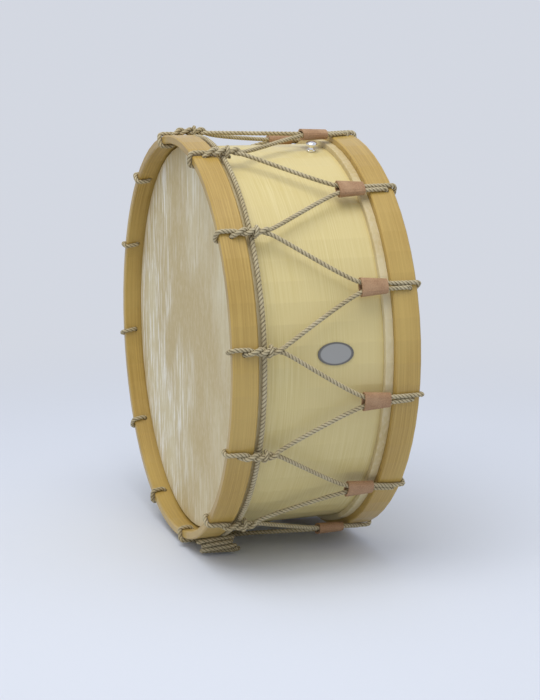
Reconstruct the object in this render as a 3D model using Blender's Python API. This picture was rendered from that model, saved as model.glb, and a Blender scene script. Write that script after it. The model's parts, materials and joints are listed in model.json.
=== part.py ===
"""Galician bass drum: a shallow drum of bent wood with a goatskin head at each end.

Each head is tucked over a flesh hoop, and a wooden counter hoop presses on that hoop.
One long cord laces the two counter hoops together in twelve V shaped stretches, and
twelve leather slides on it draw its strands together to tighten the heads.
The drum lies on its side with its axis along X, and its front head faces -X.
Angles round the drum are counted in degrees from the floor up the near side (-Y).
"""

import math

import bmesh
import bpy
from mathutils import Matrix, Vector

# Clearances
GAP = 0.0003
CHORD_ALLOWANCE = 0.0006
ROUND_SEGMENTS = 60

# Shell, one bent sheet
SHELL_RADIUS = 0.2360
SHELL_WALL = 0.006
SHELL_EDGE_BEVEL = 0.0008
DRUM_DEPTH = 0.227

# Heads, each one goatskin tucked round a thin flesh hoop
SKIN_THICKNESS = 0.0012
HEAD_RECESS = 0.022
FLESH_HOOP_THICKNESS = 0.003
FLESH_HOOP_WIDTH = 0.0082

# Counter hoops
HOOP_WIDTH = 0.031
HOOP_THICKNESS = 0.010
HOOP_CLEARANCE = 0.0025
HOOP_EDGE_BEVEL = 0.0015

# Tension cord
CORD_DIAMETER = 0.0048
CORD_HOLE_CLEARANCE = 0.0007
FRONT_HOLE_INSET = 0.014
REAR_HOLE_INSET = 0.0095
SPLIT_INSET = 0.0585
HALF_TWISTS = 3
TWIST_STEPS = 10
FRONT_POINTS_DEG = (8.5, 37.5, 67.0, 95.5, 126.8, 157.5, 188.8, 220.3, 248.0, 277.2, 307.2, 337.2)
REAR_POINTS_DEG = (21.0, 51.0, 80.8, 110.5, 140.2, 173.0, 203.0, 233.0, 262.5, 292.0, 322.0, 351.0)

# Collar cord behind the front hoop
COLLAR_CORD_DIAMETER = 0.0054
COLLAR_CORD_INSET = 0.0055

# Leather slides, wider at the front, where the two strands part
SLIDE_LENGTH = 0.032
SLIDE_LEATHER = 0.0024
SLIDE_TO_HOOP = 0.0079
SLIDE_MOUTH_SPREAD = 0.0120
SLIDE_TAIL_SPREAD = 0.0066
SLIDE_SIDE_CLEARANCE = 0.0005
SLIDE_MOUTH_HEADROOM = 0.0019
SLIDE_TAIL_HEADROOM = 0.0009
SLIDE_SIDES = 16
SLIDE_SQUARENESS = 2.6
SLIDE_DEG = (23.5, 51.7, 80.6, 110.5, 140.0, 171.6, 201.5, 232.5, 262.5, 292.0, 322.0, 351.5)

# Strap button and its screw
BUTTON_X = 0.164
BUTTON_DEG = 167.6
BUTTON_BASE_RADIUS = 0.0053
BUTTON_NECK_RADIUS = 0.0030
BUTTON_HEAD_RADIUS = 0.0070
BUTTON_HEIGHT = 0.0125
BUTTON_SEGMENTS = 24
SCREW_RADIUS = 0.0017
SCREW_HEAD_RADIUS = 0.0038
SCREW_HEAD_HEIGHT = 0.0022
SCREW_GRIP = 0.006
SCREW_CLEARANCE = 0.0003
SCREW_SEGMENTS = 12

# Blank oval plate on the shell
PLATE_X = 0.1268
PLATE_DEG = 93.3
PLATE_LENGTH = 0.0437
PLATE_WIDTH = 0.0266
PLATE_THICKNESS = 0.0008
PLATE_ROWS = 12

# Spare end of the cord, put up in a small hank under the front hoop
HANK_LOOPS = 3
HANK_LOOP_POINTS = 24
HANK_X = 0.030
HANK_DEG = 19.0
HANK_LENGTH = 0.044
HANK_WIDTH = 0.015
HANK_LAYER_CLEARANCE = 0.0006
HANK_SEAT_SHARE = 0.25  # part of the first loop made before it lies on the hoop

# Places that follow from the sizes above
SKIN_INNER = SHELL_RADIUS + GAP
SKIN_OUTER = SKIN_INNER + SKIN_THICKNESS
HOOP_INNER = SKIN_OUTER + HOOP_CLEARANCE
HOOP_OUTER = HOOP_INNER + HOOP_THICKNESS
FLESH_INNER = SKIN_OUTER + GAP
FLESH_OUTER = FLESH_INNER + FLESH_HOOP_THICKNESS
TUCK_INNER = FLESH_OUTER + GAP
TUCK_OUTER = TUCK_INNER + SKIN_THICKNESS
CORD_RADIUS = CORD_DIAMETER / 2
CORD_OFFSET = CORD_RADIUS + GAP
CORD_LINE = HOOP_OUTER + CORD_OFFSET
STRAND_SIDE = CORD_RADIUS + GAP
TWIST_RADIUS = STRAND_SIDE + CHORD_ALLOWANCE / 4
HOLE_RADIUS = CORD_RADIUS + CORD_HOLE_CLEARANCE
SLIDE_REAR_X = DRUM_DEPTH - HOOP_WIDTH - SLIDE_TO_HOOP
SLIDE_FRONT_X = SLIDE_REAR_X - SLIDE_LENGTH


def plain_material(name, colour, roughness, metallic=0.0):
    material = bpy.data.materials.new(name)
    material.use_nodes = True
    surface = material.node_tree.nodes["Principled BSDF"]
    surface.inputs["Base Color"].default_value = (*colour, 1.0)
    surface.inputs["Roughness"].default_value = roughness
    surface.inputs["Metallic"].default_value = metallic
    return material


def drum_point(x, degrees, radius, across=0.0):
    """Point at x behind the front rim, moved along its own circle by the length across."""
    angle = math.radians(degrees) + across / radius
    return Vector((x - DRUM_DEPTH / 2, -radius * math.sin(angle), -radius * math.cos(angle)))


def outward_frame(x, degrees, radius):
    """Matrix at a point of the drum: local X along its axis, Z outward, Y round it."""
    turn = Matrix.Rotation(math.pi - math.radians(degrees), 4, "X")
    return Matrix.Translation(drum_point(x, degrees, radius)) @ turn


def add_object(name, data, material, parent, smooth_angle=math.radians(40)):
    thing = bpy.data.objects.new(name, data)
    bpy.context.scene.collection.objects.link(thing)
    thing.parent = parent
    data.materials.append(material)
    if isinstance(data, bpy.types.Mesh):
        data.shade_smooth()
        data.set_sharp_from_angle(angle=smooth_angle)
    return thing


def mesh_from(name, shape):
    bmesh.ops.recalc_face_normals(shape, faces=shape.faces)
    mesh = bpy.data.meshes.new(name)
    shape.to_mesh(mesh)
    shape.free()
    return mesh


def turned_mesh(name, profile, segments):
    """Solid turned about local Z from a closed profile of (radius, height) points."""
    shape = bmesh.new()
    rings = []
    for radius, height in profile:
        if radius == 0:
            rings.append([shape.verts.new((0, 0, height))] * segments)
            continue
        ring = []
        for step in range(segments):
            angle = math.tau * step / segments
            ring.append(shape.verts.new((radius * math.cos(angle), radius * math.sin(angle), height)))
        rings.append(ring)
    for ring, following in zip(rings, rings[1:] + rings[:1]):
        for step in range(segments):
            after = (step + 1) % segments
            corners = [ring[step], ring[after], following[after], following[step]]
            corners = list(dict.fromkeys(corners))
            if len(corners) > 2:
                shape.faces.new(corners)
    return mesh_from(name, shape)


def add_drum_ring(name, profile, material, parent):
    """Ring round the drum from (radius, x) points, with x counted from the front rim."""
    ring = add_object(name, turned_mesh(name, profile, ROUND_SEGMENTS), material, parent)
    ring.location.x = -DRUM_DEPTH / 2
    ring.rotation_euler.y = math.pi / 2
    return ring


def from_rear(profile):
    """The same profile at the other end of the drum."""
    return [(radius, DRUM_DEPTH - x) for radius, x in profile]


def add_cutter(name, placed_cylinders, parent):
    """Hidden cutter of one or more cylinders, each given as (matrix, radius, depth, sides)."""
    shape = bmesh.new()
    for matrix, radius, depth, sides in placed_cylinders:
        bmesh.ops.create_cone(
            shape, cap_ends=True, segments=sides, radius1=radius, radius2=radius,
            depth=depth, matrix=matrix)
    cutter = bpy.data.objects.new(name, mesh_from(name, shape))
    bpy.context.scene.collection.objects.link(cutter)
    cutter.parent = parent
    cutter.hide_render = True
    cutter.display_type = "WIRE"
    return cutter


def cut(thing, cutter):
    boolean = thing.modifiers.new("cut", "BOOLEAN")
    boolean.operation = "DIFFERENCE"
    boolean.solver = "EXACT"
    boolean.object = cutter


def add_cord(name, points, diameter, material, parent, closed=False):
    curve = bpy.data.curves.new(name, "CURVE")
    curve.dimensions = "3D"
    curve.bevel_depth = diameter / 2
    curve.bevel_resolution = 1
    curve.use_fill_caps = not closed
    spline = curve.splines.new("POLY")
    spline.points.add(len(points) - 1)
    for spot, point in zip(spline.points, points):
        spot.co = (*point, 1.0)
    spline.use_cyclic_u = closed
    return add_object(name, curve, material, parent)


def add_shell(material, parent):
    start = HEAD_RECESS + SKIN_THICKNESS + GAP
    inner = SHELL_RADIUS - SHELL_WALL
    front = [
        (inner, start),
        (SHELL_RADIUS - SHELL_EDGE_BEVEL, start),
        (SHELL_RADIUS, start + SHELL_EDGE_BEVEL)]
    shell = add_drum_ring("shell", front + from_rear(front)[::-1], material, parent)
    hole_radius = (SCREW_RADIUS + SCREW_CLEARANCE) / math.cos(math.pi / SCREW_SEGMENTS)
    hole = outward_frame(BUTTON_X, BUTTON_DEG, SHELL_RADIUS - SHELL_WALL / 2)
    cut(shell, add_cutter("screw_hole_cutter", [(hole, hole_radius, 2 * SHELL_WALL, SCREW_SEGMENTS)], parent))


def head_profile():
    """Skin over the shell's edge, down its outside, and round the flesh hoop to an open lip."""
    tuck_end = HOOP_WIDTH + GAP
    tuck_back = tuck_end + FLESH_HOOP_WIDTH + GAP
    return [
        (0, HEAD_RECESS),
        (SKIN_OUTER - SKIN_THICKNESS, HEAD_RECESS),
        (SKIN_OUTER, HEAD_RECESS + SKIN_THICKNESS),
        (SKIN_OUTER, tuck_back),
        (TUCK_INNER, tuck_back),
        (TUCK_INNER, tuck_end),
        (TUCK_OUTER, tuck_end),
        (TUCK_OUTER, tuck_back + SKIN_THICKNESS / 2),
        (TUCK_OUTER - SKIN_THICKNESS / 2, tuck_back + SKIN_THICKNESS),
        (SKIN_INNER, tuck_back + SKIN_THICKNESS),
        (SKIN_INNER, HEAD_RECESS + SKIN_THICKNESS + SHELL_EDGE_BEVEL),
        (SKIN_INNER - SHELL_EDGE_BEVEL, HEAD_RECESS + SKIN_THICKNESS),
        (0, HEAD_RECESS + SKIN_THICKNESS)]


def flesh_hoop_profile():
    start = HOOP_WIDTH + GAP
    return [
        (FLESH_INNER, start),
        (FLESH_OUTER, start),
        (FLESH_OUTER, start + FLESH_HOOP_WIDTH),
        (FLESH_INNER, start + FLESH_HOOP_WIDTH)]


def counter_hoop_profile():
    corners = []
    for radius, x, inward, along in (
            (HOOP_INNER, 0, 1, 1), (HOOP_OUTER, 0, -1, 1),
            (HOOP_OUTER, HOOP_WIDTH, -1, -1), (HOOP_INNER, HOOP_WIDTH, 1, -1)):
        end_cut = (radius + inward * HOOP_EDGE_BEVEL, x)
        side_cut = (radius, x + along * HOOP_EDGE_BEVEL)
        corners += [side_cut, end_cut] if inward == along else [end_cut, side_cut]
    return corners


def add_counter_hoop(name, profile, hole_x, points_deg, material, parent):
    hoop = add_drum_ring(name, profile, material, parent)
    middle = (HOOP_INNER + HOOP_OUTER) / 2
    sides = 8
    cylinders = []
    for degrees in points_deg:
        hole_deg = degrees - math.degrees(STRAND_SIDE / HOOP_OUTER)
        matrix = outward_frame(hole_x, hole_deg, middle)
        cylinders.append((matrix, HOLE_RADIUS / math.cos(math.pi / sides), 2 * HOOP_THICKNESS, sides))
    cut(hoop, add_cutter(name + "_cutter", cylinders, parent))


def rim_route(hole_inset):
    """Cord's route round a rim, as (distance from the rim, across, radius).

    It comes in on the hoop's outer face, turns over the rim to the inner face, and goes
    back out through its hole, beside the strand that came in.
    """
    side = STRAND_SIDE
    bend = HOOP_EDGE_BEVEL + CORD_OFFSET
    slant = bend * math.sin(math.pi / 4)
    outer_centre = HOOP_OUTER - HOOP_EDGE_BEVEL
    inner_centre = HOOP_INNER + HOOP_EDGE_BEVEL
    turn = HOLE_RADIUS * math.sin(math.pi / 4)
    lift = CORD_OFFSET * math.sin(math.pi / 4)
    return [
        (hole_inset + HOLE_RADIUS, side, CORD_LINE),
        (HOOP_EDGE_BEVEL, side, CORD_LINE),
        (HOOP_EDGE_BEVEL - slant, 0.8 * side, outer_centre + slant),
        (-CORD_OFFSET, 0.6 * side, outer_centre),
        (-CORD_OFFSET, 0, inner_centre),
        (HOOP_EDGE_BEVEL - slant, -0.2 * side, inner_centre - slant),
        (HOOP_EDGE_BEVEL, -0.4 * side, HOOP_INNER - CORD_OFFSET),
        (hole_inset - HOLE_RADIUS, -side, HOOP_INNER - CORD_OFFSET),
        (hole_inset - HOLE_RADIUS + turn, -side, HOOP_INNER - lift),
        (hole_inset, -side, HOOP_INNER),
        (hole_inset, -side, HOOP_OUTER),
        (hole_inset + HOLE_RADIUS - turn, -side, HOOP_OUTER + lift),
        (hole_inset + HOLE_RADIUS, -side, CORD_LINE)]


def twist_route(side):
    """One strand of a twisted pair behind the front rim, from its hole to the split.

    The pair is lifted clear of the hoop and comes down again behind it.
    """
    start = FRONT_HOLE_INSET + HOLE_RADIUS
    route = []
    for step in range(1, TWIST_STEPS + 1):
        share = step / TWIST_STEPS
        angle = math.pi * HALF_TWISTS * share
        x = start + (SPLIT_INSET - start) * share
        quarter_turn = 0.5 / HALF_TWISTS
        over_hoop = quarter_turn < share < 1 - quarter_turn
        lift = TWIST_RADIUS * (1 if over_hoop else abs(math.sin(angle)))
        across = side * TWIST_RADIUS * math.cos(angle)
        radius = CORD_LINE + lift - side * TWIST_RADIUS * math.sin(angle)
        route.append((x, across, radius))
    return route


def place_route(route, degrees):
    return [drum_point(x, degrees, radius, across) for x, across, radius in route]


def slide_strand(index, side):
    """The two points where a strand enters and leaves a slide, front end first."""
    degrees = SLIDE_DEG[index]
    mouth = drum_point(SLIDE_FRONT_X, degrees, CORD_LINE, side * SLIDE_MOUTH_SPREAD / 2)
    tail = drum_point(SLIDE_REAR_X, degrees, CORD_LINE, side * SLIDE_TAIL_SPREAD / 2)
    return [mouth, tail]


def add_cord_stretches(material, parent):
    """Twelve stretches, each from the middle of one rear rim turn to the next one."""
    rear_rim = [(DRUM_DEPTH - inset, across, radius) for inset, across, radius in rim_route(REAR_HOLE_INSET)]
    outside_points = 4
    middle = (HOOP_INNER + HOOP_OUTER) / 2
    rim_x = DRUM_DEPTH + CORD_OFFSET
    rim_across = 0.3 * STRAND_SIDE
    over_rim = rear_rim[:outside_points] + [(rim_x, rim_across, middle + GAP / 2)]
    through_hole = [(rim_x, rim_across, middle - GAP / 2)] + rear_rim[outside_points:]
    for index, degrees in enumerate(FRONT_POINTS_DEG):
        before = index - 1
        points = place_route(over_rim[::-1], REAR_POINTS_DEG[before])
        points += slide_strand(before, 1)[::-1]
        points += place_route(twist_route(1)[::-1], degrees)
        points += place_route(rim_route(FRONT_HOLE_INSET), degrees)
        points += place_route(twist_route(-1), degrees)
        points += slide_strand(index, -1)
        points += place_route(through_hole[::-1], REAR_POINTS_DEG[index])
        add_cord(f"tension_cord_{index + 1:02d}", points, CORD_DIAMETER, material, parent)


def add_collar_cord(material, parent):
    radius = TUCK_OUTER + GAP + COLLAR_CORD_DIAMETER / 2
    x = HOOP_WIDTH + COLLAR_CORD_INSET
    points = [drum_point(x, 360 * step / ROUND_SEGMENTS, radius) for step in range(ROUND_SEGMENTS)]
    add_cord("collar_cord", points, COLLAR_CORD_DIAMETER, material, parent, closed=True)


def leather_slide_mesh():
    """Sleeve of rolled leather round two strands, from its wide mouth to its narrow tail."""
    shape = bmesh.new()
    loops = []
    for x, spread, headroom in (
            (-SLIDE_LENGTH / 2, SLIDE_MOUTH_SPREAD, SLIDE_MOUTH_HEADROOM),
            (SLIDE_LENGTH / 2, SLIDE_TAIL_SPREAD, SLIDE_TAIL_HEADROOM)):
        half_width = spread / 2 + CORD_RADIUS + SLIDE_SIDE_CLEARANCE
        half_height = CORD_RADIUS + headroom
        for wall in (0, SLIDE_LEATHER):
            loop = []
            for step in range(SLIDE_SIDES):
                angle = math.tau * (step + 0.5) / SLIDE_SIDES
                across = math.cos(angle)
                upward = math.sin(angle)
                bulge = (abs(across) ** SLIDE_SQUARENESS + abs(upward) ** SLIDE_SQUARENESS)
                reach = bulge ** (-1 / SLIDE_SQUARENESS)
                spot = (x, (half_width + wall) * across * reach, (half_height + wall) * upward * reach)
                loop.append(shape.verts.new(spot))
            loops.append(loop)
    mouth_inner, mouth_outer, tail_inner, tail_outer = loops
    for near, far in (
            (mouth_inner, mouth_outer), (mouth_outer, tail_outer),
            (tail_outer, tail_inner), (tail_inner, mouth_inner)):
        for step in range(SLIDE_SIDES):
            after = (step + 1) % SLIDE_SIDES
            shape.faces.new((near[step], near[after], far[after], far[step]))
    return mesh_from("leather_slide", shape)


def add_leather_slides(material, parent):
    mesh = leather_slide_mesh()
    middle_x = (SLIDE_FRONT_X + SLIDE_REAR_X) / 2
    for index, degrees in enumerate(SLIDE_DEG):
        slide = bpy.data.objects.new(f"leather_slide_{index + 1:02d}", mesh)
        bpy.context.scene.collection.objects.link(slide)
        slide.parent = parent
        slide.location = drum_point(middle_x, degrees, CORD_LINE)
        slide.rotation_euler.x = math.pi - math.radians(degrees)
    mesh.materials.append(material)
    mesh.shade_smooth()
    mesh.set_sharp_from_angle(angle=math.radians(40))


def add_strap_button(material, parent):
    """Turned button with a waisted neck and a domed head, bored for its screw."""
    bore = (SCREW_RADIUS + SCREW_CLEARANCE) / math.cos(math.pi / SCREW_SEGMENTS)
    bore_depth = SCREW_GRIP + 2 * GAP
    base_height = 0.0012
    waist = 0.0045
    head_start = BUTTON_HEIGHT - 0.0052
    dome_start = BUTTON_HEIGHT - 0.0036
    profile = [
        (0, bore_depth),
        (bore, bore_depth),
        (bore, 0),
        (BUTTON_BASE_RADIUS, 0),
        (BUTTON_BASE_RADIUS, base_height),
        (BUTTON_NECK_RADIUS + 0.0008, base_height + 0.0012),
        (BUTTON_NECK_RADIUS, waist),
        (BUTTON_NECK_RADIUS + 0.0008, head_start - 0.0004),
        (BUTTON_HEAD_RADIUS - 0.0010, head_start + 0.0002)]
    for step in range(5):
        angle = math.radians(90 * step / 5)
        profile.append((BUTTON_HEAD_RADIUS * math.cos(angle),
                        dome_start + (BUTTON_HEIGHT - dome_start) * math.sin(angle)))
    profile.append((0, BUTTON_HEIGHT))
    button = add_object("strap_button", turned_mesh("strap_button", profile, BUTTON_SEGMENTS), material, parent)
    button.location = drum_point(BUTTON_X, BUTTON_DEG, SHELL_RADIUS + GAP)
    button.rotation_euler.x = math.pi - math.radians(BUTTON_DEG)
    return button


def add_button_screw(material, parent):
    """Pan head screw from inside the shell up into the strap button."""
    seat = -SHELL_WALL - 2 * GAP
    profile = [
        (0, seat - SCREW_HEAD_HEIGHT),
        (SCREW_HEAD_RADIUS * 0.7, seat - SCREW_HEAD_HEIGHT),
        (SCREW_HEAD_RADIUS, seat - SCREW_HEAD_HEIGHT / 2),
        (SCREW_HEAD_RADIUS, seat - GAP),
        (SCREW_RADIUS, seat - GAP),
        (SCREW_RADIUS, SCREW_GRIP),
        (0, SCREW_GRIP)]
    mesh = turned_mesh("strap_button_screw", profile, SCREW_SEGMENTS)
    screw = add_object("strap_button_screw", mesh, material, parent)
    screw.location = drum_point(BUTTON_X, BUTTON_DEG, SHELL_RADIUS + GAP)
    screw.rotation_euler.x = math.pi - math.radians(BUTTON_DEG)


def add_oval_plate(material, parent):
    """Blank oval plate bent to the shell, made of rows from one end of the oval to the other."""
    shape = bmesh.new()
    rows = []
    for step in range(PLATE_ROWS + 1):
        angle = math.pi * (step + 0.25) / (PLATE_ROWS + 0.5)
        across = -PLATE_WIDTH / 2 * math.cos(angle)
        reach = PLATE_LENGTH / 2 * math.sin(angle)
        row = []
        for x, depth in ((-reach, 0), (reach, 0), (reach, PLATE_THICKNESS), (-reach, PLATE_THICKNESS)):
            radius = SHELL_RADIUS + GAP + depth
            row.append(shape.verts.new(drum_point(PLATE_X + x, PLATE_DEG, radius, across)))
        rows.append(row)
    for row, following in zip(rows, rows[1:]):
        for corner in range(4):
            after = (corner + 1) % 4
            shape.faces.new((row[corner], row[after], following[after], following[corner]))
    shape.faces.new(rows[0])
    shape.faces.new(rows[-1])
    add_object("oval_plate", mesh_from("oval_plate", shape), material, parent)


def hank_outline(share):
    """Point on a long loop with round ends, as (along, across), starting at its rear end."""
    end_radius = HANK_WIDTH / 2
    straight = HANK_LENGTH - HANK_WIDTH
    bend = math.pi * end_radius
    distance = share % 1.0 * 2 * (straight + bend)
    if distance < bend / 2:
        angle = distance / end_radius
        return straight / 2 + end_radius * math.cos(angle), end_radius * math.sin(angle)
    distance -= bend / 2
    if distance < straight:
        return straight / 2 - distance, end_radius
    distance -= straight
    if distance < bend:
        angle = math.pi / 2 + distance / end_radius
        return -straight / 2 + end_radius * math.cos(angle), end_radius * math.sin(angle)
    distance -= bend
    if distance < straight:
        return -straight / 2 + distance, -end_radius
    angle = (distance - straight) / end_radius - math.pi / 2
    return straight / 2 + end_radius * math.cos(angle), end_radius * math.sin(angle)


def least_self_gap(points, diameter):
    """Clearance of a cord to itself, over spots at least three diameters apart along it."""
    travelled = [0.0]
    for point, following in zip(points, points[1:]):
        travelled.append(travelled[-1] + (following - point).length)
    least = math.inf
    for index, point in enumerate(points):
        for other in range(index + 1, len(points)):
            if travelled[other] - travelled[index] > 3 * diameter:
                least = min(least, (points[other] - point).length - diameter)
    return least


def add_spare_end(material, parent):
    """Tucked under the last twisted pair, then put up in loops that pile on the front hoop."""
    pair_deg = FRONT_POINTS_DEG[0]
    tuck_x = HOOP_WIDTH + GAP + FLESH_HOOP_WIDTH + SKIN_THICKNESS + 2 * CORD_DIAMETER
    under = CORD_LINE - TWIST_RADIUS - CORD_DIAMETER - GAP
    hank_arc = math.radians(HANK_DEG - pair_deg) * CORD_LINE
    rear_x = HANK_X + HANK_LENGTH / 2
    layer = CORD_DIAMETER + HANK_LAYER_CLEARANCE
    start = CORD_LINE - layer * HANK_SEAT_SHARE
    lead = [
        (tuck_x, -0.011, CORD_LINE - 0.0020),
        (tuck_x, -0.006, under + 0.0010),
        (tuck_x, 0, under),
        (tuck_x, 0.006, under + 0.0006),
        (tuck_x, 0.013, CORD_LINE - 0.0030),
        (tuck_x, 0.021, CORD_LINE),
        (tuck_x + 0.5 * (rear_x - tuck_x), hank_arc - 0.017, start),
        (rear_x, hank_arc - 0.008, start)]
    points = place_route(lead, pair_deg)
    loops = []
    for step in range(HANK_LOOPS * HANK_LOOP_POINTS + 1):
        share = step / HANK_LOOP_POINTS
        along, across = hank_outline(share)
        loops.append((HANK_X + along, across, start + layer * share))
    points += place_route(loops, HANK_DEG)
    top = start + layer * HANK_LOOPS
    tail = [(rear_x + 0.0008, 0.007, top + 0.0004), (rear_x + 0.002, 0.016, top - 0.0010)]
    points += place_route(tail, HANK_DEG)
    add_cord("spare_cord_end", points, CORD_DIAMETER, material, parent)
    gap = least_self_gap(points, CORD_DIAMETER)
    print(f"spare_cord_end least gap to itself: {gap * 1000:.2f} mm")


def stand_on_floor(frame):
    """Move the whole drum so that its box stands centred on the origin."""
    bpy.context.view_layer.update()
    lows = Vector((math.inf,) * 3)
    highs = -lows
    surroundings = bpy.context.evaluated_depsgraph_get()
    for thing in bpy.context.scene.objects:
        if thing.hide_render or thing.type == "EMPTY":
            continue
        solid = thing.evaluated_get(surroundings)
        mesh = solid.to_mesh()
        for vertex in mesh.vertices:
            spot = solid.matrix_world @ vertex.co
            lows = Vector(map(min, lows, spot))
            highs = Vector(map(max, highs, spot))
        solid.to_mesh_clear()
    centre = (lows + highs) / 2
    frame.location -= Vector((centre.x, centre.y, lows.z))
    print("drum axis at", tuple(round(value, 6) for value in frame.location))


def build():
    for thing in list(bpy.data.objects):
        bpy.data.objects.remove(thing)

    maple = plain_material("pale shell wood", (0.62, 0.50, 0.24), 0.45)
    beech = plain_material("hoop wood", (0.50, 0.33, 0.12), 0.45)
    goatskin = plain_material("goatskin", (0.60, 0.48, 0.30), 0.55)
    hemp = plain_material("hemp cord", (0.42, 0.34, 0.18), 0.9)
    leather = plain_material("slide leather", (0.45, 0.22, 0.12), 0.7)
    chrome = plain_material("chrome", (0.80, 0.80, 0.82), 0.12, 1.0)
    plate = plain_material("plate metal", (0.62, 0.62, 0.62), 0.35, 1.0)

    frame = bpy.data.objects.new("drum_frame", None)
    bpy.context.scene.collection.objects.link(frame)

    add_shell(maple, frame)
    add_drum_ring("head_front", head_profile(), goatskin, frame)
    add_drum_ring("head_rear", from_rear(head_profile()), goatskin, frame)
    add_drum_ring("flesh_hoop_front", flesh_hoop_profile(), beech, frame)
    add_drum_ring("flesh_hoop_rear", from_rear(flesh_hoop_profile()), beech, frame)
    hoop = counter_hoop_profile()
    add_counter_hoop("counter_hoop_front", hoop, FRONT_HOLE_INSET, FRONT_POINTS_DEG, beech, frame)
    rear_hole_x = DRUM_DEPTH - REAR_HOLE_INSET
    add_counter_hoop("counter_hoop_rear", from_rear(hoop), rear_hole_x, REAR_POINTS_DEG, beech, frame)
    add_collar_cord(hemp, frame)
    add_cord_stretches(hemp, frame)
    add_spare_end(hemp, frame)
    add_leather_slides(leather, frame)
    add_strap_button(chrome, frame)
    add_button_screw(chrome, frame)
    add_oval_plate(plate, frame)
    stand_on_floor(frame)


build()
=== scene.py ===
"""Looks of a galician bass drum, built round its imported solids.

The drum lies on its side with its axis along X, and its front head faces -X.
"""

import json
import math

import bpy
import numpy as np
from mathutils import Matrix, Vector

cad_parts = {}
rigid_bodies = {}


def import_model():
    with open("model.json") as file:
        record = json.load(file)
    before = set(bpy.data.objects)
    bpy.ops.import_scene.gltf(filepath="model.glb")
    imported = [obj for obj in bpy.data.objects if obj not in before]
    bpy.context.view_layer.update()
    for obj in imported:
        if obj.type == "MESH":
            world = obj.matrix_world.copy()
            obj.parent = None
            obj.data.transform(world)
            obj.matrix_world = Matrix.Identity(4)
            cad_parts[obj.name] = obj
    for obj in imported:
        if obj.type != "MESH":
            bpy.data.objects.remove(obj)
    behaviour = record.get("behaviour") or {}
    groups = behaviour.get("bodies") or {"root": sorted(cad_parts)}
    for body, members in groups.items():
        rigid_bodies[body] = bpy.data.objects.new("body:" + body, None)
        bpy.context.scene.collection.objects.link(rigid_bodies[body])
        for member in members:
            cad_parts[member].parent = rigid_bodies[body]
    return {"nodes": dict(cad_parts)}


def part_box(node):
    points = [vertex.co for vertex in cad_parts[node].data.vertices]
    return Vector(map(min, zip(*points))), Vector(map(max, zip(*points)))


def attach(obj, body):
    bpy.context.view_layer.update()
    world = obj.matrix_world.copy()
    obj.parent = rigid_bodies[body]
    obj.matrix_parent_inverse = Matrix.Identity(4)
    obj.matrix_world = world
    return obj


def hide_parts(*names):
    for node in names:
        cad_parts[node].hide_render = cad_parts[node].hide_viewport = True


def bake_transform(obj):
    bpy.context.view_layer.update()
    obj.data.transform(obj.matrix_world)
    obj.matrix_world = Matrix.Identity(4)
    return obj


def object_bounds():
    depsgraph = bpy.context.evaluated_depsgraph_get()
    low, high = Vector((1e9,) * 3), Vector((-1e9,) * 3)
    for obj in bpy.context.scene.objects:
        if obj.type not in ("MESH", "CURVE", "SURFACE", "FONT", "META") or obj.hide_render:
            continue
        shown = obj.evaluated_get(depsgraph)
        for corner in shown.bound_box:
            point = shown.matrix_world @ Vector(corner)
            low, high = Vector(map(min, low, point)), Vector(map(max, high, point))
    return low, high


for leftover in list(bpy.data.objects):
    bpy.data.objects.remove(leftover)

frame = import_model()
box_low, box_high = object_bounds()
CAD_NODES = frame["nodes"]


# Shell. One sheet of pale maple ply, bent round and glued, under satin varnish. Its fine
# grain runs round the drum, and the skins are pulled down over both of its ends.
def node_box(node):
    return [Vector(corner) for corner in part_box(node)]


# The counter hoops give the rims and the axis, from which every other place is worked out
front_low, front_high = node_box("counter_hoop_front")
FRONT_RIM_X = front_low.x
DRUM_DEPTH = node_box("counter_hoop_rear")[1].x - FRONT_RIM_X
HOOP_OUTER = (front_high.z - front_low.z) / 2
AXIS_Y = (front_low.y + front_high.y) / 2
AXIS_Z = (front_low.z + front_high.z) / 2


class Value:
    """The output of a shader node, which adds and multiplies as numbers do."""

    def __init__(self, finish, socket):
        self.finish = finish
        self.socket = socket

    def maths(self, operation, *others):
        return self.finish.node("ShaderNodeMath", {"operation": operation}, dict(enumerate((self, *others))))

    def output(self, index):
        return Value(self.finish, self.socket.node.outputs[index])

    def __add__(self, other):
        return self.maths("ADD", other)

    def __sub__(self, other):
        return self.maths("SUBTRACT", other)

    def __mul__(self, other):
        return self.maths("MULTIPLY", other)

    def __rsub__(self, other):
        return self * -1.0 + other

    __radd__ = __add__
    __rmul__ = __mul__

    def between(self, low, high):
        """Smooth rise from 0 at low to 1 at high."""
        return self.finish.node("ShaderNodeMapRange", {"interpolation_type": "SMOOTHSTEP"}, {
            "Value": self, "From Min": low, "From Max": high})


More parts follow.
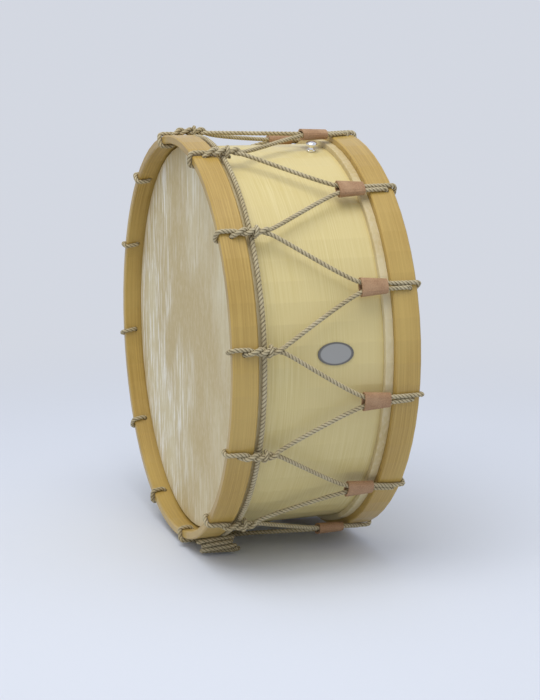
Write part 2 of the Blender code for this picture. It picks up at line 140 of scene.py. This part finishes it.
class Finish:
    """The material of one kind of piece."""

    def __init__(self, name):
        self.data = bpy.data.materials.new(name)
        self.data.use_nodes = True
        self.nodes = self.data.node_tree.nodes
        self.surface = self.nodes["Principled BSDF"]

    def set(self, socket, value):
        if isinstance(value, Value):
            self.data.node_tree.links.new(value.socket, socket)
        else:
            socket.default_value = value

    def node(self, kind, settings=None, inputs=None):
        made = self.nodes.new(kind)
        for key, value in (settings or {}).items():
            setattr(made, key, value)
        for key, value in (inputs or {}).items():
            self.set(made.inputs[key], value)
        return Value(self, made.outputs[0])

    def principled(self, **inputs):
        for key, value in inputs.items():
            self.set(self.surface.inputs[key.replace("_", " ")], value)

    def mix(self, factor, first, second):
        """Blend of two colours, by the colour sockets of the Mix node."""
        return self.node("ShaderNodeMix", {"data_type": "RGBA"}, {0: factor, 6: first, 7: second}).output(2)

    def place(self):
        """Where the shaded point lies, by the Object output of Texture Coordinate."""
        return self.node("ShaderNodeTexCoord").output(3)

    def place_axes(self):
        split = self.node("ShaderNodeSeparateXYZ", None, {0: self.place()})
        return [split.output(axis) for axis in range(3)]

    def join(self, x, y, z):
        return self.node("ShaderNodeCombineXYZ", None, {0: x, 1: y, 2: z})

    def noise(self, place, scale=1.0, detail=3.0, roughness=0.5):
        return self.node("ShaderNodeTexNoise", None, {
            "Vector": place, "Scale": scale, "Detail": detail, "Roughness": roughness})

    def bump(self, height, distance):
        self.principled(Normal=self.node("ShaderNodeBump", None, {
            "Height": height, "Distance": distance, "Strength": 1.0}))

    def along_and_round(self):
        """Place along the drum, and arc length round it with its seam on the floor side."""
        x, y, z = self.place_axes()
        return x, (y - AXIS_Y).maths("ARCTAN2", z - AXIS_Z) * HOOP_OUTER

    def give(self, *nodes):
        for node in nodes:
            mesh = CAD_NODES[node].data
            mesh.materials.clear()
            mesh.materials.append(self.data)


MAPLE_DEEP = (0.62, 0.50, 0.20, 1)
MAPLE_PALE = (0.70, 0.59, 0.28, 1)
MAPLE_CLOUD = (0.66, 0.54, 0.24, 1)
GRAIN_BAND = (0.35, 0.7)

shell_wood = Finish("shell maple")
x, arc = shell_wood.along_and_round()
grain = shell_wood.noise(shell_wood.join(x * 700.0, arc * 9.0, 0.0), detail=4.0, roughness=0.6)
cloud = shell_wood.noise(shell_wood.join(x * 9.0, arc * 3.0, 3.0), detail=2.0)
tint = shell_wood.mix(grain.between(*GRAIN_BAND), MAPLE_DEEP, MAPLE_PALE)
shell_wood.principled(
    Base_Color=shell_wood.mix(cloud.between(*GRAIN_BAND), tint, MAPLE_CLOUD),
    Roughness=grain * 0.12 + 0.36,
    Coat_Weight=0.15)
shell_wood.bump(grain, 0.00008)
shell_wood.give("shell")


# Counter hoops and flesh hoops. Steam-bent beech in a darker honey tone than the shell.
# The skins are tucked round the flesh hoops, and the lacing pulls the counter hoops onto
# them from both ends.
HOOP_THICKNESS = 0.010
HOOP_INNER = HOOP_OUTER - HOOP_THICKNESS
BEECH_DEEP = (0.38, 0.235, 0.048, 1)
BEECH_PALE = (0.50, 0.33, 0.08, 1)
BEECH_FLECK = (0.23, 0.12, 0.03, 1)
BEECH_CLOUD = (0.56, 0.39, 0.11, 1)

hoop_wood = Finish("hoop beech")
x, arc = hoop_wood.along_and_round()
grain = hoop_wood.noise(hoop_wood.join(x * 520.0, arc * 7.0, 0.0), detail=5.0, roughness=0.62)
fleck = hoop_wood.noise(hoop_wood.join(x * 1500.0, arc * 90.0, 7.0), detail=1.0)
cloud = hoop_wood.noise(hoop_wood.join(x * 14.0, arc * 5.0, 5.0), detail=2.0)
tint = hoop_wood.mix(grain.between(*GRAIN_BAND), BEECH_DEEP, BEECH_PALE)
tint = hoop_wood.mix(fleck.between(0.66, 0.76) * 0.5, tint, BEECH_FLECK)
hoop_wood.principled(
    Base_Color=hoop_wood.mix(cloud.between(*GRAIN_BAND) * 0.6, tint, BEECH_CLOUD),
    Roughness=grain * 0.12 + 0.36,
    Coat_Weight=0.2)
hoop_wood.bump(grain, 0.0001)
hoop_wood.give("counter_hoop_front", "counter_hoop_rear", "flesh_hoop_front", "flesh_hoop_rear")


# Heads. Dry goatskin, tucked wet round its flesh hoop, with pale streaks down the animal's
# back. The streaks keep to the flat disc inside the rims, and are strongest on the far side.
SKIN_TAN = (0.53, 0.41, 0.185, 1)
SKIN_YELLOW = (0.66, 0.565, 0.33, 1)
SKIN_STREAK = (0.90, 0.87, 0.77, 1)
SKIN_SPECK = (0.76, 0.66, 0.46, 1)
STREAK_FADE = 0.012
STREAK_TURN = 0.12

goatskin = Finish("goatskin")
x, y, z = goatskin.place_axes()
from_axis_y = y - AXIS_Y
from_axis_z = z - AXIS_Z
far_side = from_axis_y.between(-STREAK_TURN, STREAK_TURN)
from_axis = (from_axis_y * from_axis_y + from_axis_z * from_axis_z).maths("SQRT")
in_disc = 1.0 - from_axis.between(HOOP_INNER - STREAK_FADE, HOOP_INNER)
streak = goatskin.noise(goatskin.join(x, y * 150.0, z * 19.0), detail=6.0, roughness=0.65)
patch = goatskin.noise(goatskin.join(x, y * 9.0, z * 5.0), detail=3.0)
fine = goatskin.noise(goatskin.join(x * 300.0, y * 300.0, z * 120.0), detail=2.0)
tint = goatskin.mix(patch.between(0.38, 0.66), SKIN_TAN, SKIN_YELLOW)
pale = streak.between(0.47, 0.62) * patch.between(0.36, 0.56) * in_disc * (far_side * 0.75 + 0.2)
tint = goatskin.mix(pale, tint, SKIN_STREAK)
goatskin.principled(
    Base_Color=goatskin.mix(fine.between(0.4, 0.7) * 0.25, tint, SKIN_SPECK),
    Roughness=streak * 0.2 + 0.42)
goatskin.bump(streak + fine * 0.4, 0.0003)
goatskin.give("head_front", "head_rear")


# Tension cord. Hemp of three twisted strands, a little fuzzy, laced in a zigzag through
# the holes of both counter hoops. At the front each two strands are twisted into a pair,
# and at the rear they pass side by side through a leather slide.
# The hemp colour holds painted shade in the grooves between the strands and a painted highlight on their
# crests.
HEMP_DEEP = (0.36, 0.285, 0.145, 1)
HEMP_MIDDLE = (0.56, 0.475, 0.29, 1)
# Painted shade: near black laid into the grooves between the strands.
HEMP_GROOVE_SHADE = (0.12, 0.085, 0.035, 1)
# Painted highlight: pale colour laid on the strand crests.
HEMP_CREST_HIGHLIGHT = (0.66, 0.59, 0.41, 1)

hemp = Finish("hemp cord")
fibre = hemp.noise(hemp.place(), scale=1400.0, detail=2.0)
# Noise that makes the painted crest highlight patchy.
highlight_patches = hemp.noise(hemp.place(), scale=26.0, detail=3.0)
crest = hemp.node("ShaderNodeAttribute", {"attribute_name": "crest"}).output(2)
tint = hemp.mix(fibre.between(0.3, 0.7), HEMP_DEEP, HEMP_MIDDLE)
# Painted shade in the grooves, where the crest mark is low.
tint = hemp.mix(crest.between(0.15, 0.75), HEMP_GROOVE_SHADE, tint)
# Painted highlight on the strand crests, patchy by noise.
hemp.principled(
    Base_Color=hemp.mix(highlight_patches.between(0.35, 0.7) * crest * 0.45, tint, HEMP_CREST_HIGHLIGHT),
    Roughness=fibre * 0.1 + 0.82)
hemp.bump(fibre, 0.0004)

CORD_RADIUS = 0.00265
CORD_LIFT = 0.0027
CORD_LINE = HOOP_OUTER + CORD_LIFT
LAY_LENGTH = 0.0150
STRANDS = 3
RING_STEP = 0.0011
RING_SIDES = 12
CURVE_STEPS = 12
STRAND_SIDE = 0.0027
TWIST_RADIUS = 0.00255
HALF_TWISTS = 3
TWIST_STEPS = 18
FRONT_HOLE_INSET = 0.014
REAR_HOLE_INSET = 0.0095
HOLE_TURN = 0.0031
SPLIT_INSET = 0.0585
FRONT_POINTS_DEG = (8.5, 37.5, 67.0, 95.5, 126.8, 157.5, 188.8, 220.3, 248.0, 277.2, 307.2, 337.2)
REAR_POINTS_DEG = (21.0, 51.0, 80.8, 110.5, 140.2, 173.0, 203.0, 233.0, 262.5, 292.0, 322.0, 351.0)
SLIDE_DEG = (23.5, 51.7, 80.6, 110.5, 140.0, 171.6, 201.5, 232.5, 262.5, 292.0, 322.0, 351.5)


def drum_point(x, degrees, radius, across=0.0):
    """Point x behind the front rim, at an angle from the floor up the near side (-Y)."""
    angle = math.radians(degrees) + across / radius
    return Vector((FRONT_RIM_X + x, AXIS_Y - radius * math.sin(angle), AXIS_Z - radius * math.cos(angle)))


def between_points(t, first, second, start, end):
    return (end - t) / (end - start) * first + (t - start) / (end - start) * second


def smooth_route(points):
    """Even points along a centripetal Catmull-Rom curve through the given ones."""
    spots = np.array([tuple(point) for point in points])
    padded = np.vstack([2 * spots[0] - spots[1], spots, 2 * spots[-1] - spots[-2]])
    curve = []
    for a, b, c, d in zip(padded, padded[1:], padded[2:], padded[3:]):
        spans = [max(np.linalg.norm(q - p), 1e-6) ** 0.5 for p, q in ((a, b), (b, c), (c, d))]
        k0, k1, k2, k3 = np.cumsum([0, *spans])
        t = np.linspace(k1, k2, CURVE_STEPS, endpoint=False)[:, None]
        ab = between_points(t, a, b, k0, k1)
        bc = between_points(t, b, c, k1, k2)
        cd = between_points(t, c, d, k2, k3)
        left = between_points(t, ab, bc, k0, k2)
        right = between_points(t, bc, cd, k1, k3)
        curve.append(between_points(t, left, right, k1, k2))
    curve = np.vstack([*curve, spots[-1:]])
    travelled = np.concatenate([[0], np.cumsum(np.linalg.norm(np.diff(curve, axis=0), axis=1))])
    count = max(4, round(travelled[-1] / RING_STEP))
    even = np.linspace(0, travelled[-1], count + 1)
    return np.stack([np.interp(even, travelled, curve[:, axis]) for axis in range(3)], axis=1), even


def rope(name, points, radius=CORD_RADIUS, closed=False):
    """Three-strand rope along the route, as one closed mesh with its crests marked."""
    route, travelled = smooth_route(points)
    if closed:
        route, travelled = route[:-1], travelled[:-1]
        ahead = np.roll(route, -1, axis=0)
        behind = np.roll(route, 1, axis=0)
    else:
        ahead = np.vstack([route[1:], 2 * route[-1:] - route[-2:-1]])
        behind = np.vstack([2 * route[:1] - route[1:2], route[:-1]])
    tangents = ahead - behind
    tangents /= np.linalg.norm(tangents, axis=1)[:, None]
    normal = np.cross(tangents[0], (0.31, 0.52, 0.79))
    turns = max(1, round(travelled[-1] / LAY_LENGTH))
    lay = math.tau * turns / (travelled[-1] + (RING_STEP if closed else 0))
    around = math.tau * np.arange(RING_SIDES) / RING_SIDES
    rings = []
    crests = []
    for spot, tangent, distance in zip(route, tangents, travelled):
        normal = normal - tangent * np.dot(normal, tangent)
        normal /= np.linalg.norm(normal)
        side = np.cross(tangent, normal)
        crest_here = np.abs(np.cos(STRANDS / 2 * (around - lay * distance)))
        crests.append(crest_here)
        lobes = radius * (0.76 + 0.28 * crest_here ** 0.8)
        across = np.outer(lobes * np.cos(around), normal)
        rings.append(spot + across + np.outer(lobes * np.sin(around), side))
    faces = []
    count = len(rings)
    for ring in range(count if closed else count - 1):
        here = ring * RING_SIDES
        after = (ring + 1) % count * RING_SIDES
        for corner in range(RING_SIDES):
            beside = (corner + 1) % RING_SIDES
            faces.append((here + corner, here + beside, after + beside, after + corner))
    if not closed:
        faces.append(tuple(range(RING_SIDES))[::-1])
        faces.append(tuple((count - 1) * RING_SIDES + corner for corner in range(RING_SIDES)))
    mesh = bpy.data.meshes.new(name)
    mesh.from_pydata(np.vstack(rings).tolist(), [], faces)
    # The crest marks, high on a strand's top and low in its groove, steer the painted groove shade and the
    # painted crest highlight of the hemp.
    marks = mesh.attributes.new("crest", "FLOAT", "POINT")
    marks.data.foreach_set("value", np.concatenate(crests).astype(np.float32))
    mesh.shade_smooth()
    mesh.materials.append(hemp.data)
    made = bpy.data.objects.new(name, mesh)
    bpy.context.scene.collection.objects.link(made)
    return made


def place_route(route, degrees):
    return [drum_point(x, degrees, radius, across) for x, across, radius in route]


def rim_route(hole_inset):
    """Round the rim and back out through the hole, as (distance from the rim, across, radius)."""
    side, lift = STRAND_SIDE, CORD_LIFT
    return [
        (hole_inset + HOLE_TURN, side, CORD_LINE),
        (0.0015, side, CORD_LINE),
        (-0.0016, 0.8 * side, HOOP_OUTER + 0.0016),
        (-lift, 0.6 * side, HOOP_OUTER - 0.0015),
        (-lift, 0, HOOP_INNER + 0.0015),
        (-0.0016, -0.2 * side, HOOP_INNER - 0.0016),
        (0.0015, -0.4 * side, HOOP_INNER - lift),
        (hole_inset - HOLE_TURN, -side, HOOP_INNER - lift),
        (hole_inset - 0.0009, -side, HOOP_INNER - 0.0019),
        (hole_inset, -side, HOOP_INNER),
        (hole_inset, -side, HOOP_OUTER),
        (hole_inset + 0.0009, -side, HOOP_OUTER + 0.0019),
        (hole_inset + HOLE_TURN, -side, CORD_LINE)]


def twist_route(side):
    """One strand of a front pair, three half twists from its hole to where the pair parts."""
    start = FRONT_HOLE_INSET + HOLE_TURN
    route = []
    for step in range(1, TWIST_STEPS + 1):
        share = step / TWIST_STEPS
        angle = HALF_TWISTS * math.pi * share
        lift = TWIST_RADIUS * (1 if 1 / 6 < share < 5 / 6 else abs(math.sin(angle)))
        route.append((
            start + (SPLIT_INSET - start) * share,
            side * TWIST_RADIUS * math.cos(angle),
            CORD_LINE + lift - side * TWIST_RADIUS * math.sin(angle)))
    return route


slide_low, slide_high = node_box("leather_slide_04")
SLIDE_MOUTH_X = slide_low.x - FRONT_RIM_X
SLIDE_TAIL_X = slide_high.x - FRONT_RIM_X
SLIDE_MIDDLE_X = (SLIDE_MOUTH_X + SLIDE_TAIL_X) / 2
MOUTH_SIDE = 0.0060
TAIL_SIDE = 0.0033
REAR_HOOP_X = DRUM_DEPTH - REAR_HOLE_INSET - HOLE_TURN
rear_rim = [(DRUM_DEPTH - inset, across, radius) for inset, across, radius in rim_route(REAR_HOLE_INSET)]

for index, degrees in enumerate(FRONT_POINTS_DEG):
    split = [place_route(twist_route(side), degrees) for side in (1, -1)]
    whole = split[0][::-1] + place_route(rim_route(FRONT_HOLE_INSET), degrees) + split[1]
    pair = rope(f"front_pair_{index + 1:02d}", whole)
    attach(pair, "drum")
    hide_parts(f"tension_cord_{index + 1:02d}")
    for side, level, strand, slide in ((-1, "low", split[1], index), (1, "high", split[0], index - 1)):
        slide_deg = SLIDE_DEG[slide]
        body = f"slide_{slide % len(SLIDE_DEG) + 1:02d}"
        before, parting = strand[-2:]
        middle = drum_point(SLIDE_MIDDLE_X, slide_deg, CORD_LINE, side * (MOUTH_SIDE + TAIL_SIDE) / 2)
        mouth = drum_point(SLIDE_MOUTH_X, slide_deg, CORD_LINE, side * MOUTH_SIDE)
        tail = drum_point(SLIDE_TAIL_X, slide_deg, CORD_LINE, side * TAIL_SIDE)
        hoop_edge = drum_point(REAR_HOOP_X, REAR_POINTS_DEG[slide], CORD_LINE, side * STRAND_SIDE)
        arm = rope(f"arm_{index + 1:02d}_{level}", [before, parting, mouth, middle])
        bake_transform(arm)
        back = rope(f"back_{index + 1:02d}_{level}", [middle, tail, hoop_edge])
        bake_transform(back)

for index, degrees in enumerate(REAR_POINTS_DEG):
    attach(rope(f"rear_turn_{index + 1:02d}", place_route(rear_rim, degrees)), "drum")


# Collar cord. A thicker hemp cord behind the front hoop, lying on the tucked skin. A small
# hitch holds it to each twisted pair.
COLLAR_CORD_RADIUS = 0.0031
COLLAR_SINK = 0.0007
COLLAR_SHIFT = 0.0015
COLLAR_STEPS = 120
HITCH_CORD_RADIUS = 0.0022
HITCH_STEPS = 18
HITCH_TURN_DEG = 400
HITCH_START = 0.0012
HITCH_LENGTH = 0.0060
HITCH_LIFT = 0.0016
HITCH_HEIGHT = 0.0062
HITCH_SIDE = 0.0058

collar_low, collar_high = node_box("collar_cord")
COLLAR_LINE = (collar_high.z - collar_low.z) / 2 - COLLAR_SINK
COLLAR_X = (collar_low.x + collar_high.x) / 2 - FRONT_RIM_X + COLLAR_SHIFT
circle = [drum_point(COLLAR_X, 360 / COLLAR_STEPS * step, COLLAR_LINE) for step in range(COLLAR_STEPS + 1)]
collar = rope("collar_rope", circle, radius=COLLAR_CORD_RADIUS, closed=True)
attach(collar, "drum")
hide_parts("collar_cord")

for index, degrees in enumerate(FRONT_POINTS_DEG):
    hitch = []
    for step in range(HITCH_STEPS + 1):
        share = step / HITCH_STEPS
        angle = math.radians(HITCH_TURN_DEG * (share - 0.5))
        along = COLLAR_X + HITCH_START + HITCH_LENGTH * share
        radius = CORD_LINE + HITCH_LIFT + HITCH_HEIGHT * math.cos(angle)
        hitch.append(drum_point(along, degrees, radius, HITCH_SIDE * math.sin(angle)))
    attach(rope(f"collar_hitch_{index + 1:02d}", hitch, radius=HITCH_CORD_RADIUS), "drum")


# Spare end of the tension cord, tucked under the last twisted pair and put up in a loose
# hank of three loops that lies on the front hoop.
HANK_X = 0.030
HANK_DEG = 19.0
HANK_LENGTHS = (0.044, 0.034, 0.040)
HANK_WIDTHS = (0.015, 0.020, 0.012)
HANK_LAYER = 0.0054
HANK_STEPS = 16
HANK_SHIFT = 0.0012
HANK_SPLAY = 0.003
hank_seat = CORD_LINE - HANK_LAYER / 4
hank_rear = HANK_X + HANK_LENGTHS[0] / 2
hank_arc = math.radians(HANK_DEG - FRONT_POINTS_DEG[0]) * CORD_LINE
tuck_x = collar_high.x - FRONT_RIM_X + CORD_RADIUS
hank = place_route([
    (tuck_x, -0.011, CORD_LINE - 0.0020),
    (tuck_x, 0, CORD_LINE - 0.0077),
    (tuck_x, 0.013, CORD_LINE - 0.0030),
    (tuck_x, 0.021, CORD_LINE),
    ((tuck_x + hank_rear) / 2, hank_arc - 0.017, hank_seat),
    (hank_rear, hank_arc - 0.008, hank_seat)], FRONT_POINTS_DEG[0])
for loop, (length, width) in enumerate(zip(HANK_LENGTHS, HANK_WIDTHS)):
    for step in range(HANK_STEPS):
        share = step / HANK_STEPS
        angle = math.tau * share
        along = HANK_X + length / 2 * math.cos(angle) + HANK_SHIFT * loop
        across = width / 2 * math.sin(angle) + HANK_SPLAY * loop * math.cos(angle)
        hank.append(drum_point(along, HANK_DEG, hank_seat + HANK_LAYER * (loop + share), across))
hank_top = hank_seat + len(HANK_LENGTHS) * HANK_LAYER
hank.append(drum_point(hank_rear + 0.002, HANK_DEG, hank_top - 0.001, 0.014))
spare = rope("spare_cord_hank", hank)
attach(spare, "drum")
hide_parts("spare_cord_end")


# Slides. Each is a piece of thick leather rolled round two strands, pinkish tan. Pushed
# along them toward the front, it draws the strands together and tightens the heads.
LEATHER_DEEP = (0.29, 0.155, 0.073, 1)
LEATHER_MIDDLE = (0.42, 0.245, 0.125, 1)
LEATHER_WORN = (0.48, 0.30, 0.165, 1)

leather = Finish("slide leather")
pore = leather.noise(leather.place(), scale=900.0, detail=3.0)
wear = leather.noise(leather.place(), scale=60.0, detail=3.0)
tint = leather.mix(pore.between(0.35, 0.7), LEATHER_DEEP, LEATHER_MIDDLE)
leather.principled(
    Base_Color=leather.mix(wear.between(0.4, 0.7) * 0.5, tint, LEATHER_WORN),
    Roughness=pore * 0.15 + 0.58)
leather.bump(pore, 0.0003)
leather.give(*(f"leather_slide_{number:02d}" for number in range(1, len(SLIDE_DEG) + 1)))


# Strap button. Turned steel with a waisted neck, chromed, and held to the shell by a
# screw from inside.
CHROME_TINT = (0.86, 0.86, 0.88, 1)

chrome = Finish("chrome")
polish = chrome.noise(chrome.place(), scale=300.0)
chrome.principled(Base_Color=CHROME_TINT, Metallic=1.0, Roughness=polish * 0.08 + 0.06)
chrome.give("strap_button", "strap_button_screw")


# Oval plate. Thin brushed metal, fixed flat on the near side of the shell, with a darker
# rim round a blank face.
PLATE_FACE = (0.42, 0.41, 0.38, 1)
PLATE_RIM = (0.20, 0.19, 0.17, 1)

plate = Finish("satin plate")
x, y, z = plate.place_axes()
brushed = plate.noise(plate.join(x * 60.0, y * 60.0, z * 1800.0), detail=2.0)
plate_low, plate_high = node_box("oval_plate")
plate_middle = (plate_low + plate_high) / 2
plate_half = (plate_high - plate_low) / 2
across_x = (x - plate_middle.x) * (1 / plate_half.x)
across_z = (z - plate_middle.z) * (1 / plate_half.z)
rim = (across_x * across_x + across_z * across_z).between(0.66, 0.80)
plate.principled(
    Base_Color=plate.mix(rim, PLATE_FACE, PLATE_RIM),
    Metallic=1.0,
    Roughness=brushed * 0.2 + 0.3)
plate.give("oval_plate")


# Floor. A pale sheet of paper under the drum. Seen by the camera it fades into the
# backdrop, so that no horizon shows.
PALE = (0.655, 0.685, 0.755, 1)
FLOOR_TINT = (0.70, 0.73, 0.79, 1)
FLOOR_REACH = 12.0
FADE_START = 0.35
FADE_END = 1.5

corners = [(x * FLOOR_REACH, y * FLOOR_REACH, 0) for x, y in ((-1, -1), (1, -1), (1, 1), (-1, 1))]
floor_mesh = bpy.data.meshes.new("floor")
floor_mesh.from_pydata(corners, [], [(0, 1, 2, 3)])
floor = bpy.data.objects.new("floor", floor_mesh)
bpy.context.scene.collection.objects.link(floor)
floor.location.z = box_low.z

paper = Finish("pale floor")
x, y, z = paper.place_axes()
away = (x * x + y * y).maths("SQRT")
paper.principled(Base_Color=FLOOR_TINT, Roughness=0.9)
glow = paper.node("ShaderNodeEmission", None, {"Color": PALE, "Strength": 1.0})
seen = paper.node("ShaderNodeLightPath")
sheet = Value(paper, paper.surface.outputs[0])
fade = away.between(FADE_START, FADE_END) * seen
faded = paper.node("ShaderNodeMixShader", None, {0: fade, 1: sheet, 2: glow})
paper.set(paper.nodes["Material Output"].inputs["Surface"], faded)
floor_mesh.materials.append(paper.data)


# Soft light of a room. A pale world, and one large lamp overhead, a little in front.
world = bpy.data.worlds.new("room")
bpy.context.scene.world = world
world.use_nodes = True
world.node_tree.nodes["Background"].inputs["Color"].default_value = PALE
world.node_tree.nodes["Background"].inputs["Strength"].default_value = 1.0

LAMP_SIZE = 1.6
LAMP_POWER = 26.0
LAMP_PLACE = Vector((-0.5, -0.6, 2.2))
LAMP_TARGET = Vector((0, 0, 0.3))
lamp_data = bpy.data.lights.new("overhead", "AREA")
lamp_data.size = LAMP_SIZE
lamp_data.energy = LAMP_POWER
lamp = bpy.data.objects.new("overhead", lamp_data)
bpy.context.scene.collection.objects.link(lamp)
lamp.location = LAMP_PLACE
lamp.rotation_euler = (LAMP_TARGET - LAMP_PLACE).to_track_quat("-Z", "Y").to_euler()
bpy.context.scene.view_settings.view_transform = "Standard"


# Camera of the photograph, turned round toward the front head and looking a little down.
# Its place is measured from the middle of the front rim.
FOCAL_PIXELS = 1706.9
FRAME_PIXELS = 700
SENSOR_MM = 36
SHIFT_PIXELS = -2
EYE_FROM_RIM = Vector((-0.5594, -2.0146, 0.3638))
YAW_DEG = 18.853
PITCH_DEG = 10.223
camera_data = bpy.data.cameras.new("camera")
camera_data.sensor_width = SENSOR_MM
camera_data.lens = FOCAL_PIXELS * SENSOR_MM / FRAME_PIXELS
camera_data.shift_y = SHIFT_PIXELS / FRAME_PIXELS
camera = bpy.data.objects.new("camera", camera_data)
camera.location = Vector((FRONT_RIM_X, AXIS_Y, AXIS_Z)) + EYE_FROM_RIM
camera.rotation_euler = (math.radians(90 - PITCH_DEG), 0, math.radians(-YAW_DEG))
bpy.context.scene.collection.objects.link(camera)
bpy.context.scene.camera = camera
